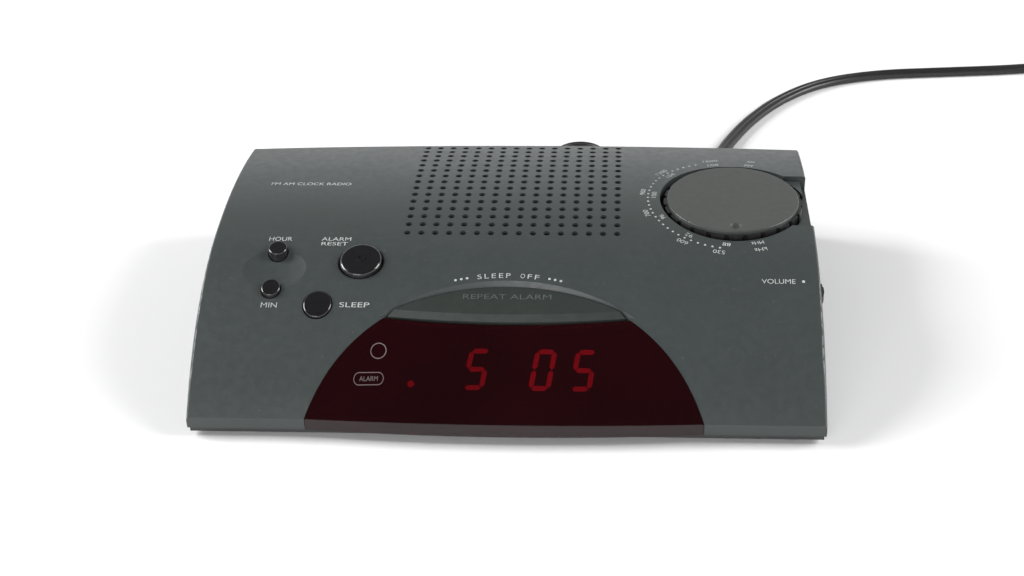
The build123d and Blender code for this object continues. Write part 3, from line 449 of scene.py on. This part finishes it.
def print_window():
    """The faint ring and the alarm's outline on the window."""
    ring = []
    for n in range(RING_STEPS):
        turn = 2 * math.pi * n / RING_STEPS
        place = (RING_X + RING_HALF_WIDE * math.cos(turn), RING_BACK + RING_HALF_HIGH * math.sin(turn))
        ring.append(place)
    ribbon("window_ring", ring, RING_LINE, closed=True, lens=True)
    pill = []
    for n in range(PILL_STEPS):
        turn = 2 * math.pi * (n + 0.5) / PILL_STEPS
        shift = PILL_HALF_LONG if math.cos(turn) > 0 else -PILL_HALF_LONG
        x = PILL_X + shift + PILL_HALF_HIGH * math.cos(turn)
        pill.append((x, PILL_BACK + PILL_HALF_HIGH * math.sin(turn)))
    ribbon("alarm_outline", pill, PILL_LINE, closed=True, lens=True)
    print_words("window_alarm", "ALARM", PILL_X, PILL_BACK, PILL_WORD_WIDE, PILL_WORD_HIGH, lens=True)


BAR_CREASE, BAR_PROUD = 28.4, 0.7
BAR_REAR, BAR_SINK = 38.3, 1.1
BAR_WORDS_BACK, BAR_WORDS_WIDE, BAR_WORDS_HIGH = 33.0, 27.0, 2.0


def emboss_bar():
    """The raised words on the snooze bar's face, drawn as a thin sheet in a lighter grey that is a
    painted highlight on the letters; the face slopes from its crease down to its rear edge.
    """
    mesh = text_mesh("REPEAT ALARM", TEXT_SIZE)
    mid_x, full_x = extent([v.co.x for v in mesh.vertices])
    mid_y, full_y = extent([v.co.y for v in mesh.vertices])
    crease_z = crown_z(BAR_CREASE) + BAR_PROUD
    rear_z = crown_z(BAR_REAR) - BAR_SINK
    slope = (rear_z - crease_z) / (BAR_REAR - BAR_CREASE)
    for v in mesh.vertices:
        x = (v.co.x - mid_x) * BAR_WORDS_WIDE / full_x
        back = BAR_WORDS_BACK + (v.co.y - mid_y) * BAR_WORDS_HIGH / full_y
        v.co = at(x, back, crease_z + slope * (back - BAR_CREASE) + BAR_WORDS_LIFT)
    finish_mark(mesh, "bar_words_painted_highlight", "snooze", BAR_WORDS_HIGHLIGHT)


# ---------------------------------------------------------------- cords
MAINS_ROUTE = [
    (70.0, 148.0, 8.0),
    (70.0, 158.5, 8.0),
    (70.8, 173.0, 2.4),
    (76.0, 189.0, 1.5),
    (85.0, 207.5, 1.5),
    (98.0, 226.5, 1.5),
    (116.0, 242.5, 1.5),
    (140.0, 250.8, 1.5),
    (168.0, 253.2, 1.5),
    (196.0, 255.4, 1.5),
    (217.0, 259.3, 1.5),
]
TAIL_ROUTE = [
    (282.3, 210.0, 4.6),
    (281.0, 198.0, 7.0),
    (281.0, 187.5, 7.0),
]
WIRE_ROUTE = [
    (10.0, 125.25, 8.0),
    (10.0, 131.0, 7.4),
    (10.2, 137.5, 5.0),
    (10.4, 144.0, 1.7),
    (10.2, 151.5, 0.75),
    (9.5, 161.0, 0.75),
    (8.9, 169.0, 0.75),
]
MAINS_WIDE, MAINS_THICK, WIRE_D = 5.2, 2.8, 1.5
SECTION_STEPS, GROOVE_SHARE = 32, 0.30
# Each coil's centre, outer radius, pitch, layers' heights, starting bearing and turns.
MAINS_COIL = ((244.9, 228.0), 38.0, 5.25, [1.5, 4.4], 106.7, 6.296)
WIRE_COIL = ((18.4, 174.2), 9.55, 1.5, [0.75, 2.25, 3.75], 180.0, 9.0)
POINTS_A_TURN = 16
CLIMB_FROM, CLIMB_SHARE = 0.9, 0.1


def coil_points(centre, outer, pitch, layers, start, turns):
    """A neat coil wound clockwise, inwards and outwards in turn, one layer on another."""
    points = []
    count = round(turns * POINTS_A_TURN)
    for n in range(count + 1):
        wound = n / POINTS_A_TURN
        layer = min(int(wound * len(layers) / turns), len(layers) - 1)
        done = wound * len(layers) / turns - layer
        depth = done if layer % 2 == 0 else 1 - done
        radius = outer - pitch * depth * turns / len(layers)
        climb = min(1.0, max(0.0, (done - CLIMB_FROM) / CLIMB_SHARE))
        rise = climb if layer < len(layers) - 1 else 0.0
        z = layers[layer] + (layers[min(layer + 1, len(layers) - 1)] - layers[layer]) * rise
        turn = math.radians(start) - 2 * math.pi * wound
        points.append((centre[0] + radius * math.cos(turn), centre[1] + radius * math.sin(turn), z))
    return points


def nurbs(name, points):
    """A smooth curve with these points as its control points."""
    curve = bpy.data.curves.new(name, "CURVE")
    curve.dimensions = "3D"
    spline = curve.splines.new("NURBS")
    spline.points.add(len(points) - 1)
    for point, (x, back, z) in zip(spline.points, points):
        point.co = (*at(x, back, z), 1)
    spline.order_u = 3
    spline.use_endpoint_u = True
    curve.resolution_u = 10
    piece = bpy.data.objects.new(name, curve)
    bpy.context.scene.collection.objects.link(piece)
    return piece


def twin_profile():
    """The section of flat twin flex: two rounds, the flats between them and a slit in each flat."""
    curve = bpy.data.curves.new("twin_section", "CURVE")
    curve.dimensions = "2D"
    spline = curve.splines.new("POLY")
    outline = []
    for n in range(SECTION_STEPS):
        turn = 2 * math.pi * n / SECTION_STEPS
        shift = (MAINS_WIDE - MAINS_THICK) / 2 * (1 if math.cos(turn) > 0 else -1)
        outline.append((shift + MAINS_THICK / 2 * math.cos(turn), MAINS_THICK / 2 * math.sin(turn)))
    groove = MAINS_THICK * GROOVE_SHARE
    outline.insert(SECTION_STEPS // 4, (0.0, groove))
    outline.insert(3 * SECTION_STEPS // 4 + 1, (0.0, -groove))
    spline.points.add(len(outline) - 1)
    for point, (x, y) in zip(spline.points, outline):
        point.co = (x * MM, y * MM, 0, 1)
    spline.use_cyclic_u = True
    profile = bpy.data.objects.new("twin_section", curve)
    bpy.context.scene.collection.objects.link(profile)
    profile.hide_render = True
    profile.hide_viewport = True
    return profile


def length_of(points):
    """The length of a smooth curve with these control points, in metres."""
    probe = nurbs("probe", points)
    mesh = bpy.data.meshes.new_from_object(probe)
    bpy.data.objects.remove(probe)
    line = [v.co for v in mesh.vertices]
    return sum((b - a).length for a, b in zip(line, line[1:]))


def mains_cord():
    """The mains lead: out of the sleeve, over the table, into its coil and to its plug."""
    route = MAINS_ROUTE + coil_points(*MAINS_COIL) + TAIL_ROUTE
    cord = nurbs("mains_lead", route)
    cord.data.twist_mode = "Z_UP"
    cord.data.bevel_mode = "OBJECT"
    cord.data.bevel_object = twin_profile()
    cord.data.use_fill_caps = True
    cord.data.materials.append(MATERIALS["flex_black"])
    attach(cord, "case")
    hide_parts("mains_cord", "mains_coil", "mains_tail")
    length_of(route)


def antenna_wire():
    """The thin aerial wire, with its put-away length coiled behind the case."""
    route = WIRE_ROUTE + coil_points(*WIRE_COIL)
    wire = nurbs("aerial_wire", route)
    wire.data.bevel_depth = WIRE_D / 2 * MM
    wire.data.bevel_resolution = 4
    wire.data.use_fill_caps = True
    wire.data.materials.append(MATERIALS["wire"])
    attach(wire, "case")
    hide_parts("antenna_wire", "antenna_wire_coil")
    length_of(route)


# ---------------------------------------------------------------- the picture
CAMERA_X, CAMERA_BACK, CAMERA_Z = 35.4, -381.9, 297.9
CAMERA_DOWN, CAMERA_YAW, CAMERA_ROLL = 32.51, -4.66, 2.03
LENS_MM = 57.17
SENSOR_MM = 36
NEAR_CLIP = 0.01
FLOOR_HALF = 4
SKY_TONES = ((0.0, 1.0), (0.40, 0.75), (0.66, 0.05), (1.0, 0.04))
SKY_STRENGTH = 1.25


def set_camera():
    """The camera, at the viewing angle that shows the radio from above its front."""
    down, yaw, roll = (math.radians(a) for a in (CAMERA_DOWN, CAMERA_YAW, CAMERA_ROLL))
    forward = Vector((math.sin(yaw) * math.cos(down), math.cos(yaw) * math.cos(down), -math.sin(down)))
    right = Vector((math.cos(yaw), -math.sin(yaw), 0))
    below = forward.cross(right)
    across = math.cos(roll) * right + math.sin(roll) * below
    below = -math.sin(roll) * right + math.cos(roll) * below
    camera = bpy.data.cameras.new("camera")
    camera.lens = LENS_MM
    camera.sensor_width = SENSOR_MM
    camera.clip_start = NEAR_CLIP
    holder = bpy.data.objects.new("camera", camera)
    bpy.context.scene.collection.objects.link(holder)
    turn = Matrix((across, -below, -forward)).transposed().to_4x4()
    holder.matrix_world = Matrix.Translation(at(CAMERA_X, CAMERA_BACK, CAMERA_Z)) @ turn
    bpy.context.scene.camera = holder


def area_light(name, place, target, size, power, color=(1, 1, 1)):
    """A soft light at a place, aimed at another."""
    lamp = bpy.data.lights.new(name, "AREA")
    lamp.shape = "RECTANGLE"
    lamp.size, lamp.size_y = size
    lamp.energy = power
    lamp.color = color
    holder = bpy.data.objects.new(name, lamp)
    bpy.context.scene.collection.objects.link(holder)
    holder.location = place
    holder.rotation_euler = (Vector(target) - Vector(place)).to_track_quat("-Z", "Y").to_euler()


def set_stage():
    """A pale floor, the sky and three soft lights."""
    mesh = bpy.data.meshes.new("floor")
    half = FLOOR_HALF
    corners = [(-half, -half, 0), (half, -half, 0), (half, half, 0), (-half, half, 0)]
    mesh.from_pydata(corners, [], [(0, 1, 2, 3)])
    floor = bpy.data.objects.new("floor", mesh)
    bpy.context.scene.collection.objects.link(floor)
    material, shader, tree = new_material("paper_floor", (0.86, 0.86, 0.85), 0.75)
    tone = ramp(tree, noise(tree, 3, 2), [(0.3, grey(0.84)), (0.7, grey(0.88))])
    tree.links.new(tone, shader.inputs["Base Color"])
    mesh.materials.append(material)
    set_sky()
    area_light("left", (-1.5, 0.2, 0.95), (0, 0, 0), (0.8, 0.9), 34.0)
    area_light("right", (1.5, 0.1, 0.95), (0, 0, 0), (0.8, 0.9), 26.0)
    area_light("front", (-0.5, -1.5, 0.7), (0, 0, 0), (0.9, 0.5), 9.0)


def set_sky():
    """Light from a pale backdrop: bright near the horizon and dim overhead."""
    world = bpy.data.worlds.new("sky")
    world.use_nodes = True
    tree = world.node_tree
    where = tree.nodes.new("ShaderNodeTexCoord")
    split = tree.nodes.new("ShaderNodeSeparateXYZ")
    tree.links.new(where.outputs["Generated"], split.inputs["Vector"])
    tone = ramp(tree, split.outputs["Z"], [(height, grey(value)) for height, value in SKY_TONES])
    tree.links.new(tone, tree.nodes["Background"].inputs["Color"])
    tree.nodes["Background"].inputs["Strength"].default_value = SKY_STRENGTH
    bpy.context.scene.world = world


print_scale()
print_legends()
print_arc()
print_window()
emboss_bar()
mains_cord()
antenna_wire()
for name in ("battery_door", "strain_relief", "mains_plug", "volume_wheel"):
    softened(name, EDGE_WIDTH)
set_camera()
set_stage()
bpy.context.scene.view_settings.view_transform = "Standard"
